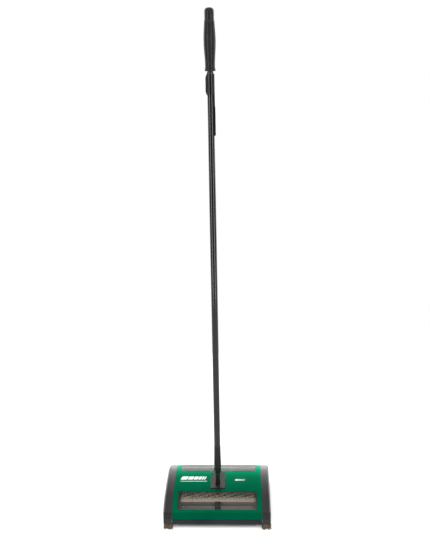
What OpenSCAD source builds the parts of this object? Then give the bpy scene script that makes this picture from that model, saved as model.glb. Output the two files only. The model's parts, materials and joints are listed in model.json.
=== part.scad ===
// Carpet sweeper: a low push-along head with a brush roll between two dust pans, and a long tube handle.
// X runs along the brush, the front of the head faces -Y, and the floor is at Z = 0.

/* [Head] */
// Width of the green top cover
cover_w = 202; // [190:1:210]
// Half width of the head over the end caps
cap_x = 120.5; // [118:0.5:126]
// Height of the middle of the roof
crown_z = 65; // [64:0.2:65.4]
// Radius of the nearly flat middle of the roof
crown_r = 500; // [400:10:800]
// Radius of the roof towards the front and the rear
shoulder_r = 125; // [115:1:140]
// Distance from the middle to the start of the steeper roof
shoulder_y = 43.4; // [40:0.2:48]
// Distance from the middle to the crease above the front and rear faces
crease_y = 99.2; // [98.8:0.1:99.6]
// Distance from the middle to the foot of the front and rear faces
skirt_y = 100.4; // [100:0.1:101]
// Height of the lower edge of the cover
skirt_z = 29.6; // [28:0.2:30]
// Wall thickness of the moulded shells
wall = 2.2; // [1.8:0.1:2.6]
// Width of the bevel round the outer end of each end cap
cap_bevel = 3; // [1:0.5:5]

/* [Windows] */
// Width of each window opening
window_w = 180; // [160:1:182]
// Distance from the middle to the upper edge of a window opening
window_in = 43.4; // [41:0.2:48]
// Distance from the middle to the lower edge of a window opening
window_out = 92.6; // [88:0.1:92.8]
// Thickness of the clear pane
pane_t = 2; // [1.5:0.1:2.2]

/* [Bumpers and corners] */
// Distance from the middle to the outer face of a bumper
bumper_y = 101.5; // [101:0.1:103]
// Height of the lower edge of the bumpers and side skirts
bumper_low = 14.9; // [14:0.1:17]
// Height of the lower edge of the corner brush holders
holder_low = 16; // [13:0.5:17]
// Width of a corner tuft where it leaves its holder
tuft_w = 13.4; // [10:0.2:13.6]
// Width of a corner tuft at the floor, along X
tuft_foot_w = 22.2; // [14:0.2:23]
// Depth of a corner tuft at the floor, along Y
tuft_foot_d = 19; // [14:0.2:20]

/* [Brush roll] */
// Radius over the bristles
brush_r = 24; // [22:0.5:24]
// Radius of the brush core
core_r = 10; // [8:0.5:12]
// Height of the brush axis
brush_z = 25; // [24.6:0.1:25.2]
// Half length of the brush core
brush_half = 87.5; // [80:0.5:88]
// Radius of a drive drum
drum_r = 11; // [10:0.5:12]
// Number of helical rows of tufts
brush_rows = 6; // [3:1:8]
// Number of tufts in each row
row_tufts = 17; // [10:1:19]

/* [Wheels] */
// Radius of a wheel over its tyre
wheel_r = 19; // [18:0.5:20]
// Thickness of the tyre
tyre_t = 3; // [2:0.5:5]
// Width of a wheel
wheel_w = 12; // [9:0.5:12]

/* [Dust pans] */
// Height of the hinge rods
pan_hinge_z = 6.8; // [6.6:0.1:7.4]
// Distance from the middle to a hinge rod
pan_hinge_y = 21.5; // [21.4:0.1:23]
// Half width of a pan
pan_half = 88.5; // [80:0.5:88.6]
// Angle above the brush axis at which a pan's ramp ends
ramp_top = -4; // [-10:1:9]
// Wall thickness of a pan
pan_t = 1.6; // [1.2:0.1:2]
// Height of a pan's outer wall
pan_wall_z = 20; // [16:0.5:21]
// Width of the catch in the middle of a pan
catch_w = 13.5; // [8:0.5:20]

/* [Handle bracket] */
// Width of the bracket's top plate
plate_w = 33; // [31:0.5:40]
// Length of the bracket's top plate, front to rear
plate_d = 66.6; // [64:0.2:70]
// Height of the top of the plate
plate_z = 65.6; // [65:0.1:67]
// Height of the pivot axis
pivot_z = 58; // [57.8:0.1:58.4]
// Width of the handle tongue
tongue_w = 9.2; // [8:0.1:9.4]

/* [Handle] */
// Diameter of the handle tubes
tube_d = 14.2; // [13:0.1:15]
// Length of one tube section
tube_len = 244.5; // [150:0.5:260]
// Height of the lower end of the first tube
tube_z = 113; // [110:1:120]
// Diameter of the yoke's collar
yoke_d = 16.2; // [15.8:0.1:18]
// Height of the upper end of the ferrule
ferrule_z = 155; // [140:1:170]
// Height of the lower end of the grip
grip_z = 997; // [900:1:1010]
// Length of the grip
grip_len = 121; // [100:1:130]
// Radius of the grip away from its bulge
grip_r = 9.8; // [8.5:0.1:10]
// How far the grip bulges in the middle
grip_bulge = 2.2; // [0:0.05:4]

/* [Hidden] */

green = [0, 0.45, 0.3];
dark_grey = [0.27, 0.26, 0.25];
charcoal = [0.2, 0.2, 0.22];
smoke = [0.45, 0.43, 0.4, 0.5];
steel = [0.7, 0.7, 0.72];
bristle_tan = [0.54, 0.45, 0.31];

// General clearances
fit = 0.03;         // between a fixed pin and its hole
running = 0.06;     // between a shaft and the hole it turns in
seam = 0.2;         // between neighbouring mouldings
far = 200;          // longer than any cut needs

// Frame: a side plate beside each end of the pans, and a bearing plate outside the wheels
plate_x = 89.2;
plate_t = 2.4;
plate_low = 12;
ear_low = 3;        // lower edge of the ears that hold the hinge rods
ear_half = 4;
bearing_x = 107.4;
bearing_half = 42;
bearing_low = 11;
bearing_slope = 8;  // the lower corners of a bearing plate are cut off by this much
web_z = 40;
web_t = 2;
cross_y = 97.3;     // inner face of the front and rear cross members
cross_t = 2;
cross_low = 15.2;
axle_r = 2;
shaft_r = 2.5;
bush_r = 4.5;
bush_flange_r = 6;
rod_r = 1.5;
pin_r = 2.5;

// Roof outline: a flat crown arc that runs into a shoulder arc on each side
crown_centre = [0, crown_z - crown_r];
crown_angle = asin(shoulder_y / crown_r);
shoulder_centre = crown_centre + (crown_r - shoulder_r) * [sin(crown_angle), cos(crown_angle)];

// The wheels touch the drums, so their distance from the middle follows from the radii
mesh_gap = 0.3;
wheel_y = sqrt(pow(drum_r + wheel_r + mesh_gap, 2) - pow(brush_z - wheel_r, 2));
wheel_x = (plate_x + plate_t + bearing_x) / 2;

// Handle bracket and its slot
slot_w = tongue_w + 0.4;
slot_front = -22.2;
slot_rear = 30.7;
slot_floor = pivot_z - 6.2;
foot_r = 5.7;
housing_half = 14;
housing_low = slot_floor - 1.4;
housing_front = 26;
flange_x = 30;
flange_y = 26;
flange_z = 54.6;
flange_t = 2.4;

// Screw bosses and the tabs that they stand on
boss_r = 3.2;
boss_xy = [25, 20];
boss_top = crown_z - 1.4;
boss_hole = 4;      // depth of a screw hole above the seat of its boss
corner_boss_xy = [96.5, 91];
corner_boss_h = 18.5;
corner_tab_y = 84;
corner_tab_z = 25;
corner_tab_t = 3;
cap_screw_yz = [36, 34];
clearance_r = 1.6;  // hole that a screw passes through
tube_r = tube_d / 2;
tube_bore = tube_r - 0.75;
neck_z = 996;       // the top tube is reduced above this height
neck_r = 6;
neck_t = 0.8;

// Screws
screw_r = 1.15;
screw_head_r = 2.6;
screw_head_h = 1.6;

// Corner tufts and their holders
holder_x0 = cover_w / 2 + 0.4;
holder_x1 = cap_x - 0.2;
holder_y0 = 81;
holder_mid = [(holder_x0 + holder_x1) / 2, (holder_y0 + bumper_y) / 2];
holder_pad_z = 32;
socket_top = holder_low + 8;
tuft_lean = [0.5, -0.65];   // a tuft's foot stands this far from the middle of its holder

function arc_points(c, r, a0, a1, steps) =
    [for (i = [0:steps]) let(a = a0 + (a1 - a0) * i / steps) c + r * [cos(a), sin(a)]];

function mirrored(points) = [for (i = [len(points) - 1:-1:0]) [-points[i][0], points[i][1]]];

// Right half of the head's outline, moved inwards by inset, from the middle of the roof down to z = low
function half_outline(inset, low) =
    let(end = acos((crease_y - inset - shoulder_centre[0]) / (shoulder_r - inset)))
    concat(
        [for (i = [1:6]) let(a = 90 - crown_angle * i / 6)
            crown_centre + (crown_r - inset) * [cos(a), sin(a)]],
        [for (i = [1:14]) let(a = 90 - crown_angle + (end - 90 + crown_angle) * i / 14)
            shoulder_centre + (shoulder_r - inset) * [cos(a), sin(a)]],
        [[skirt_y - inset, low]]
    );

function head_outline(inset, low) =
    concat(mirrored(half_outline(inset, low)), [[0, crown_z - inset]], half_outline(inset, low));

// Extrudes an outline drawn as [y, z] from x0 to x1
module along_x(x0, x1) {
    translate([x0, 0, 0]) rotate([90, 0, 90]) linear_extrude(height = x1 - x0) children();
}

// A cylinder along X from x0 to x1, its axis at [y, z]
module rod_x(x0, x1, yz, r) {
    translate([x0, yz[0], yz[1]]) rotate([0, 90, 0]) cylinder(h = x1 - x0, r = r, $fn = 64);
}

module both_x() {
    children();
    mirror([1, 0, 0]) children();
}

module both_y() {
    children();
    mirror([0, 1, 0]) children();
}

// A box from its lowest corner to its highest
module block(low, high) {
    translate(low) cube(high - low);
}

/* ---- shells ---- */

module at_boss(z) {
    translate([boss_xy[0], boss_xy[1], z]) children();
}

module at_corner_boss(z) {
    translate([corner_boss_xy[0], corner_boss_xy[1], z]) children();
}

module top_cover() {
    opening_x = plate_w / 2 + 2 * seam;
    opening_y = plate_d / 2 + 2 * seam;
    color(green) difference() {
        union() {
            along_x(-cover_w / 2, cover_w / 2) difference() {
                polygon(head_outline(0, skirt_z));
                polygon(head_outline(wall, skirt_z - 1));
            }
            both_x() both_y() {
                at_boss(flange_z + flange_t)
                    cylinder(h = boss_top - flange_z - flange_t, r = boss_r, $fn = 32);
                at_corner_boss(corner_tab_z + corner_tab_t)
                    cylinder(h = corner_boss_h, r = boss_r, $fn = 32);
            }
        }
        both_y() block([-window_w / 2, window_in, skirt_z + 2], [window_w / 2, window_out, far]);
        block([-opening_x, -opening_y, flange_z + flange_t], [opening_x, opening_y, far]);
        both_x() both_y() {
            at_boss(flange_z)
                cylinder(h = flange_t + boss_hole, r = screw_r + fit, $fn = 24);
            at_corner_boss(corner_tab_z)
                cylinder(h = corner_tab_t + corner_boss_h - 7, r = screw_r + fit, $fn = 24);
        }
    }
}

// Part of the rear window opening between two depths under the roof, its edges moved out by grow
module roof_layer(top, bottom, grow) {
    along_x(-window_w / 2 - grow, window_w / 2 + grow) intersection() {
        difference() {
            polygon(head_outline(top, skirt_z));
            polygon(head_outline(bottom, skirt_z - 1));
        }
        translate([window_in - grow, skirt_z])
            square([window_out - window_in + 2 * grow, crown_z - skirt_z]);
    }
}

// Clear pane, a little below the roof, on a rim that laps the underside of the opening
module window_pane() {
    sunk = 0.7;
    rim_top = wall + 0.05;
    rim_low = rim_top + 1.2;
    rim_out = 2.5;
    rim_in = 2;
    color(smoke) difference() {
        union() {
            roof_layer(sunk, rim_low, -seam);
            roof_layer(rim_top, rim_low, rim_out);
        }
        roof_layer(sunk + pane_t, rim_low + 1, -rim_in);
    }
}

module rear_window() { window_pane(); }
module front_window() { mirror([0, 1, 0]) window_pane(); }

// Right end cap: open towards the middle and below, with a bevelled outer end and a side skirt
module end_cap() {
    inner_x = cap_x - wall;
    color(dark_grey) difference() {
        union() {
            difference() {
                union() {
                    along_x(cover_w / 2, cap_x - cap_bevel) polygon(head_outline(0, skirt_z));
                    hull() {
                        along_x(cap_x - cap_bevel - 0.5, cap_x - cap_bevel)
                            polygon(head_outline(0, skirt_z));
                        along_x(cap_x - 0.5, cap_x) polygon(head_outline(cap_bevel, skirt_z));
                    }
                    block([inner_x, seam - holder_y0, bumper_low], [cap_x, holder_y0 - seam, skirt_z + 1]);
                }
                along_x(cover_w / 2 - 1, inner_x) polygon(head_outline(wall, skirt_z - 1));
            }
            both_y() rod_x(bearing_x + plate_t, inner_x + 0.5, cap_screw_yz, boss_r);
        }
        both_y() rod_x(bearing_x, inner_x - 1, cap_screw_yz, screw_r + fit);
    }
}

module right_end_cap() { end_cap(); }
module left_end_cap() { mirror([1, 0, 0]) end_cap(); }

/* ---- frame ---- */

module side_plate() {
    along_x(plate_x, plate_x + plate_t) intersection() {
        polygon(head_outline(wall + pane_t + 0.3, ear_low));
        union() {
            translate([-cross_y, plate_low]) square([2 * cross_y, crown_z]);
            for (side = [-1, 1])
                translate([side * pan_hinge_y - ear_half, ear_low]) square([2 * ear_half, plate_low]);
        }
    }
}

module bearing_plate() {
    foot = bearing_half - bearing_slope;
    slope_top = bearing_low + bearing_slope;
    along_x(bearing_x, bearing_x + plate_t) polygon([
        [-bearing_half, slope_top], [-foot, bearing_low], [foot, bearing_low],
        [bearing_half, slope_top], [bearing_half, web_z + web_t], [-bearing_half, web_z + web_t]
    ]);
}

module base_frame() {
    color(charcoal) difference() {
        union() {
            both_x() {
                side_plate();
                bearing_plate();
                block(
                    [plate_x, -bearing_half, web_z],
                    [bearing_x + plate_t, bearing_half, web_z + web_t]
                );
                both_y() block(
                    [plate_x, corner_tab_y, corner_tab_z],
                    [cover_w / 2, cross_y, corner_tab_z + corner_tab_t]
                );
            }
            both_y() block(
                [-cover_w / 2, cross_y, cross_low],
                [cover_w / 2, cross_y + cross_t, skirt_z - seam]
            );
        }
        both_x() {
            rod_x(plate_x - 1, plate_x + plate_t + 1, [0, brush_z], bush_flange_r);
            rod_x(bearing_x - 1, bearing_x + plate_t + 1, [0, brush_z], bush_r + fit);
            both_y() {
                rod_x(plate_x - 1, bearing_x + plate_t + 1, [wheel_y, wheel_r], axle_r + fit);
                rod_x(plate_x - 1, plate_x + plate_t + 1, [pan_hinge_y, pan_hinge_z], rod_r + fit);
                rod_x(bearing_x - 1, bearing_x + plate_t + 1, cap_screw_yz, clearance_r);
                at_corner_boss(corner_tab_z - 1)
                    cylinder(h = corner_tab_t + 2, r = clearance_r, $fn = 32);
            }
        }
    }
}

module bumper() {
    back_y = cross_y + cross_t;
    top = skirt_z - seam;
    edge = 1;
    color(charcoal) along_x(-cover_w / 2, cover_w / 2) polygon([
        [back_y, bumper_low + edge / 2], [bumper_y - edge, bumper_low], [bumper_y, bumper_low + 2 * edge],
        [bumper_y, top - edge], [bumper_y - edge, top], [back_y, top]
    ]);
}

module rear_bumper() { bumper(); }
module front_bumper() { mirror([0, 1, 0]) bumper(); }

/* ---- handle bracket ---- */

module pivot_housing() {
    color(dark_grey) difference() {
        union() {
            block([-plate_w / 2, -plate_d / 2, plate_z - 2.6], [plate_w / 2, plate_d / 2, plate_z]);
            block(
                [-housing_half, -housing_front, housing_low],
                [housing_half, plate_d / 2 - 2 * seam, plate_z - 2]
            );
            block([-flange_x, -flange_y, flange_z], [flange_x, flange_y, flange_z + flange_t]);
        }
        block([-slot_w / 2, slot_front, slot_floor], [slot_w / 2, slot_rear, far]);
        rod_x(-far / 2, far / 2, [0, pivot_z], pin_r + fit);
        both_x() both_y() at_boss(flange_z - 1) cylinder(h = flange_t + 2, r = clearance_r, $fn = 32);
    }
}

module pivot_pin() {
    color(steel) rod_x(-housing_half + 0.5, housing_half - 0.5, [0, pivot_z], pin_r);
}

// Leaf under the flat heel of the handle tongue, turned up at its front end
module detent_spring() {
    leaf_t = 0.4;
    leaf_half = tongue_w / 2 - leaf_t;
    leaf_z = slot_floor + 0.05;
    front = slot_front + 0.6;
    rear = 21;
    lip_z = leaf_z + 3;
    color(steel) along_x(-leaf_half, leaf_half) polygon([
        [front, leaf_z], [rear, leaf_z], [rear, leaf_z + leaf_t], [front + leaf_t, leaf_z + leaf_t],
        [front + leaf_t, lip_z], [front, lip_z]
    ]);
}

/* ---- corner brushes ---- */

module brush_holder() {
    color(dark_grey) difference() {
        union() {
            block([holder_x0, holder_y0, holder_low], [holder_x1, bumper_y - 0.2, skirt_z - seam]);
            block(
                [holder_x0 + 3, holder_y0 + 4, skirt_z - 1],
                [cap_x - wall - 0.4, skirt_y - wall - 1, holder_pad_z]
            );
        }
        block(
            [holder_mid[0] - tuft_w / 2 - fit, holder_mid[1] - tuft_w / 2 - fit, 0],
            [holder_mid[0] + tuft_w / 2 + fit, holder_mid[1] + tuft_w / 2 + fit, socket_top]
        );
    }
}

module tuft() {
    color(bristle_tan) translate([holder_mid[0], holder_mid[1], 0]) {
        block([-tuft_w / 2, -tuft_w / 2, holder_low - 1], [tuft_w / 2, tuft_w / 2, socket_top]);
        hull() {
            translate([-tuft_w / 2, -tuft_w / 2, holder_low - 1]) cube([tuft_w, tuft_w, 0.5]);
            translate([tuft_lean[0] - tuft_foot_w / 2, tuft_lean[1] - tuft_foot_d / 2, 0])
                cube([tuft_foot_w, tuft_foot_d, 0.5]);
        }
    }
}

module rear_right_brush_holder() { brush_holder(); }
module rear_left_brush_holder() { mirror([1, 0, 0]) brush_holder(); }
module front_right_brush_holder() { mirror([0, 1, 0]) brush_holder(); }
module front_left_brush_holder() { mirror([1, 0, 0]) mirror([0, 1, 0]) brush_holder(); }
module rear_right_tuft() { tuft(); }
module rear_left_tuft() { mirror([1, 0, 0]) tuft(); }
module front_right_tuft() { mirror([0, 1, 0]) tuft(); }
module front_left_tuft() { mirror([1, 0, 0]) mirror([0, 1, 0]) tuft(); }

/* ---- wheels ---- */

module wheel_axles() {
    head_x = bearing_x + plate_t + 0.1;
    head_t = 1.3;
    head_r = 3.4;
    color(steel) both_x() both_y() {
        rod_x(plate_x + 0.4, head_x + 0.1, [wheel_y, wheel_r], axle_r);
        rod_x(head_x, head_x + head_t, [wheel_y, wheel_r], head_r);
    }
}

// Moves a wheel from the X axis to its place at the rear right
module at_wheel() {
    translate([wheel_x, wheel_y, wheel_r]) rotate([0, 90, 0]) children();
}

module hub() {
    rim_r = wheel_r - tyre_t;
    rim_t = 2.4;
    web_half = 1.5;
    hole_r = 2.4;
    holes = 5;
    holes_at = 9.2;
    hub_boss_r = 4.6;
    boss_half = wheel_w / 2 + 0.9;
    color(charcoal) at_wheel() difference() {
        union() {
            difference() {
                translate([0, 0, -wheel_w / 2]) cylinder(h = wheel_w, r = rim_r, $fn = 96);
                translate([0, 0, -far]) cylinder(h = 2 * far, r = rim_r - rim_t, $fn = 96);
            }
            translate([0, 0, -web_half]) cylinder(h = 2 * web_half, r = rim_r - rim_t / 2, $fn = 96);
            translate([0, 0, -boss_half]) cylinder(h = 2 * boss_half, r = hub_boss_r, $fn = 48);
        }
        translate([0, 0, -far]) cylinder(h = 2 * far, r = axle_r + running, $fn = 48);
        for (i = [0:holes - 1]) rotate([0, 0, i * 360 / holes])
            translate([holes_at, 0, -2 * web_half]) cylinder(h = 4 * web_half, r = hole_r, $fn = 32);
    }
}

module tyre() {
    color([0.12, 0.12, 0.12]) at_wheel() translate([0, 0, -wheel_w / 2]) difference() {
        cylinder(h = wheel_w, r = wheel_r, $fn = 96);
        translate([0, 0, -1]) cylinder(h = wheel_w + 2, r = wheel_r - tyre_t, $fn = 96);
    }
}

module rear_right_hub() { hub(); }
module rear_left_hub() { mirror([1, 0, 0]) hub(); }
module front_right_hub() { mirror([0, 1, 0]) hub(); }
module front_left_hub() { mirror([1, 0, 0]) mirror([0, 1, 0]) hub(); }
module rear_right_tyre() { tyre(); }
module rear_left_tyre() { mirror([1, 0, 0]) tyre(); }
module front_right_tyre() { mirror([0, 1, 0]) tyre(); }
module front_left_tyre() { mirror([1, 0, 0]) mirror([0, 1, 0]) tyre(); }

/* ---- brush roll ---- */

module brush_core() {
    neck_end = wheel_x - wheel_w / 2 - 0.8;
    neck_r = 4;
    color(charcoal) difference() {
        union() {
            rod_x(-brush_half, brush_half, [0, brush_z], core_r);
            rod_x(-neck_end, neck_end, [0, brush_z], neck_r);
        }
        rod_x(-far, far, [0, brush_z], shaft_r + fit);
    }
}

// Tufts stand on the core in helical rows that make half a turn from end to end
module brush_bristles() {
    tuft_r = 2.6;
    span = 2 * (brush_half - 4);
    color(bristle_tan) for (row = [0:brush_rows - 1], i = [0:row_tufts - 1]) {
        along = i / (row_tufts - 1);
        translate([span * (along - 0.5), 0, brush_z]) rotate([row * 360 / brush_rows + 180 * along, 0, 0])
            translate([0, 0, core_r]) cylinder(h = brush_r - core_r, r = tuft_r, $fn = 16);
    }
}

module brush_shaft() {
    end = bearing_x + plate_t + 2;
    color(steel) rod_x(-end, end, [0, brush_z], shaft_r);
}

module drum() {
    color([0.15, 0.15, 0.15]) difference() {
        rod_x(wheel_x - wheel_w / 2 - 0.5, wheel_x + wheel_w / 2 + 0.5, [0, brush_z], drum_r);
        rod_x(0, far, [0, brush_z], shaft_r + fit);
    }
}

module bush() {
    color([0.75, 0.6, 0.35]) difference() {
        union() {
            rod_x(bearing_x - 0.9, bearing_x - 0.05, [0, brush_z], bush_flange_r);
            rod_x(bearing_x - 0.1, bearing_x + plate_t + 0.4, [0, brush_z], bush_r);
        }
        rod_x(0, far, [0, brush_z], shaft_r + running);
    }
}

module right_drum() { drum(); }
module left_drum() { mirror([1, 0, 0]) drum(); }
module right_bush() { bush(); }
module left_bush() { mirror([1, 0, 0]) bush(); }

/* ---- dust pans ---- */

// Rear pan: hinged at its inner edge, with a ramp that follows the brush
module dust_pan() {
    ramp_r = brush_r + 1.6;
    ramp_low = -37;
    wall_y = 95;
    slope = 4;          // the floor's outer corner is cut off by about this much
    axis = [0, brush_z];
    floor_z = pan_hinge_z - 0.8;
    knuckle_r = 2.8;
    knuckle_end = 80;
    spring_room_r = 3.4;
    outer = [
        [pan_hinge_y + 2, floor_z], [wall_y - slope, floor_z],
        [wall_y, floor_z + slope - 1], [wall_y, pan_wall_z]
    ];
    ramp = concat(
        arc_points(axis, ramp_r + pan_t, ramp_low, ramp_top, 8),
        arc_points(axis, ramp_r, ramp_top, ramp_low, 8)
    );
    color(dark_grey) difference() {
        union() {
            along_x(-pan_half, pan_half) polygon(ramp);
            along_x(-pan_half, pan_half) polygon(concat(outer, [
                [wall_y - pan_t, pan_wall_z], [wall_y - pan_t, floor_z + slope],
                [wall_y - slope - 0.6, floor_z + pan_t], [pan_hinge_y + 1, floor_z + pan_t]
            ]));
            both_x() along_x(pan_half - pan_t, pan_half)
                polygon(concat(arc_points(axis, ramp_r, ramp_top, ramp_low, 8), outer));
            rod_x(-knuckle_end, knuckle_end, [pan_hinge_y, pan_hinge_z], knuckle_r);
        }
        rod_x(-far, far, [pan_hinge_y, pan_hinge_z], rod_r + running);
        both_x() rod_x(knuckle_end, far, [pan_hinge_y, pan_hinge_z], spring_room_r);
    }
}

module pan_rod() {
    color(steel) rod_x(-plate_x - plate_t, plate_x + plate_t, [pan_hinge_y, pan_hinge_z], rod_r);
}

// A torsion spring on the rod at each end of the pan, with one leg under the pan's floor
module pan_springs() {
    wire = 0.5;
    turns = 6;
    coil_in = 1.9;
    coil_out = coil_in + 2 * wire;
    coil_x = 81;
    leg_r = wire - 0.05;
    leg_len = 14;
    ridges = [for (i = [0:turns - 1], step = [0, 1])
        [coil_out - (1 - step) * wire / 2, (2 * i + step) * wire]];
    color(steel) both_x() {
        translate([coil_x, pan_hinge_y, pan_hinge_z]) rotate([0, 90, 0]) rotate_extrude($fn = 48)
            polygon(concat([[coil_in, 0]], ridges, [[coil_out - wire / 2, turns], [coil_in, turns]]));
        translate([coil_x + wire, pan_hinge_y, pan_hinge_z - coil_out + wire]) rotate([-90, 0, 0])
            cylinder(h = leg_len, r = leg_r, $fn = 16);
        rod_x(coil_x + turns - wire, plate_x - 0.1, [pan_hinge_y, pan_hinge_z + coil_in + wire], leg_r);
    }
}

// Post in the middle of a pan with a hook at its top
module pan_catch() {
    post_y = 33;
    post_t = 2.6;
    top = 28;
    hook_reach = 2;
    foot_len = 9;
    foot_t = 1.6;
    foot_z = pan_hinge_z - 0.8 + pan_t;
    color([0.15, 0.15, 0.15]) {
        block([-catch_w / 2, post_y, foot_z], [catch_w / 2, post_y + post_t, top]);
        block([-catch_w / 2, post_y - hook_reach, top - post_t], [catch_w / 2, post_y + 1, top]);
        block([-catch_w / 2, post_y, foot_z], [catch_w / 2, post_y + foot_len, foot_z + foot_t]);
    }
}

module rear_dust_pan() { dust_pan(); }
module front_dust_pan() { mirror([0, 1, 0]) dust_pan(); }
module rear_pan_rod() { pan_rod(); }
module front_pan_rod() { mirror([0, 1, 0]) pan_rod(); }
module rear_pan_springs() { pan_springs(); }
module front_pan_springs() { mirror([0, 1, 0]) pan_springs(); }
module rear_pan_catch() { pan_catch(); }
module front_pan_catch() { mirror([0, 1, 0]) pan_catch(); }

/* ---- screws ---- */

// A pan-head screw that points up from z = 0, the seat of its head
module screw(length) {
    slot_len = 3;
    slot_t = 0.6;
    translate([0, 0, -screw_head_h]) difference() {
        cylinder(h = screw_head_h, r = screw_head_r, $fn = 32);
        for (turn = [0, 90]) rotate([0, 0, turn])
            translate([-slot_len / 2, -slot_t / 2, -1]) cube([slot_len, slot_t, 1 + screw_head_h / 2]);
    }
    translate([0, 0, -0.2]) cylinder(h = length + 0.2, r = screw_r, $fn = 24);
}

module cover_screws() {
    color(steel) both_x() both_y() at_corner_boss(corner_tab_z - 0.02) screw(13);
}

module housing_screws() {
    color(steel) both_x() both_y() at_boss(flange_z - 0.02) screw(6);
}

module end_cap_screws() {
    color(steel) both_x() both_y()
        translate([bearing_x - 0.02, cap_screw_yz[0], cap_screw_yz[1]]) rotate([0, 90, 0]) screw(8.5);
}

/* ---- handle ---- */

module handle_yoke() {
    heel_z = pivot_z - foot_r + 0.15;
    blade_half = 7.5;
    blade_low = 72;
    blade_top = 88;
    cone_z = 85;
    cone_h = 5;
    collar_z = tube_z - 0.3;
    spigot_h = 29;
    color(dark_grey) difference() {
        union() {
            rod_x(-tongue_w / 2, tongue_w / 2, [0, pivot_z], foot_r);
            along_x(-tongue_w / 2, tongue_w / 2) polygon([
                [-foot_r, pivot_z], [foot_r, pivot_z], [blade_half, blade_low],
                [blade_half, blade_top], [-blade_half, blade_top], [-blade_half, blade_low]
            ]);
            translate([0, 0, cone_z]) cylinder(h = cone_h, r1 = 5, r2 = yoke_d / 2, $fn = 64);
            translate([0, 0, cone_z + cone_h])
                cylinder(h = collar_z - cone_z - cone_h, r = yoke_d / 2, $fn = 64);
            translate([0, 0, collar_z - 1]) cylinder(h = spigot_h + 1, r = tube_bore - fit, $fn = 64);
        }
        rod_x(-far, far, [0, pivot_z], pin_r + running);
        block([-far, -far, 0], [far, far, heel_z]);
    }
}

module handle_ferrule() {
    color(dark_grey) difference() {
        translate([0, 0, tube_z])
            cylinder(h = ferrule_z - tube_z, r1 = yoke_d / 2 - 0.1, r2 = tube_r + 0.35, $fn = 64);
        translate([0, 0, tube_z - 1]) cylinder(h = far, r = tube_r + fit, $fn = 64);
    }
}

// One tube section from z0; its swaged upper end goes into the next one
module tube_section(z0) {
    swage = 22;
    spigot = tube_bore - 0.05;
    spigot_t = 0.8;
    color([0.1, 0.1, 0.1]) translate([0, 0, z0]) difference() {
        union() {
            cylinder(h = tube_len, r = tube_r, $fn = 64);
            cylinder(h = tube_len + swage, r = spigot, $fn = 64);
        }
        translate([0, 0, -1]) cylinder(h = tube_len - 2, r = tube_bore, $fn = 64);
        cylinder(h = tube_len + swage + 1, r = spigot - spigot_t, $fn = 64);
    }
}

module handle_tube_1() { tube_section(tube_z); }
module handle_tube_2() { tube_section(tube_z + tube_len); }
module handle_tube_3() { tube_section(tube_z + 2 * tube_len); }

// The top tube is reduced where the grip goes over it
module handle_tube_4() {
    z0 = tube_z + 3 * tube_len;
    top = tube_z + 4 * tube_len;
    color([0.1, 0.1, 0.1]) difference() {
        union() {
            translate([0, 0, z0]) cylinder(h = neck_z - z0, r = tube_r, $fn = 64);
            translate([0, 0, z0]) cylinder(h = top - z0, r = neck_r, $fn = 64);
        }
        translate([0, 0, z0 - 1]) cylinder(h = neck_z - z0 - 1, r = tube_bore, $fn = 64);
        translate([0, 0, z0]) cylinder(h = far * 2, r = neck_r - neck_t, $fn = 64);
    }
}

// Ring on the top tube with a lug on one side and a long tongue on the other
module hang_clip() {
    ring_low = 950;
    ring_top = 992;
    ring_r = 8.6;
    lug_x = 9.8;
    lug_slope = 7;
    tongue_x = 9.4;
    tongue_low = 869;
    swell_low = 924;    // the tongue is thicker below this height
    swell_top = 930;
    half_depth = 4;
    color(charcoal) difference() {
        union() {
            translate([0, 0, ring_low + 1]) cylinder(h = ring_top - ring_low - 2, r = ring_r, $fn = 64);
            rotate([90, 0, 0]) linear_extrude(height = 2 * half_depth, center = true) polygon([
                [-5, ring_low], [-7.4, ring_low], [-lug_x, ring_low + lug_slope],
                [-lug_x, ring_top - lug_slope], [-7.6, ring_top], [ring_r, ring_top],
                [ring_r, swell_top], [tongue_x, swell_low], [tongue_x, tongue_low + 2],
                [8, tongue_low], [5, tongue_low]
            ]);
        }
        translate([0, 0, tongue_low - 1]) cylinder(h = far, r = tube_r + fit, $fn = 64);
    }
}

function grip_radius(h) =
    let(mid = grip_len * 0.48, reach = grip_len * 0.413, c = cos(90 * (h - mid) / reach))
    grip_r + (abs(h - mid) < reach ? grip_bulge * c * c : 0);

module grip() {
    skirt_h = 8;
    skirt_r = grip_r + 1.2;
    dome = 7.5;
    dome_z = grip_len - dome;
    steps = 18;
    side = [for (i = [0:steps]) let(h = skirt_h + (dome_z - skirt_h) * i / steps) [grip_radius(h), h]];
    end = [for (a = [15:15:75]) [grip_r * cos(a), dome_z + dome * sin(a)]];
    color(charcoal) translate([0, 0, grip_z]) difference() {
        rotate_extrude($fn = 64) polygon(concat(
            [[0, 0], [skirt_r, 0], [skirt_r - 0.3, 3]], side, end, [[0, grip_len]]
        ));
        translate([0, 0, -1])
            cylinder(h = tube_z + 4 * tube_len - grip_z + 1.5, r = neck_r + fit, $fn = 64);
    }
}

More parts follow.
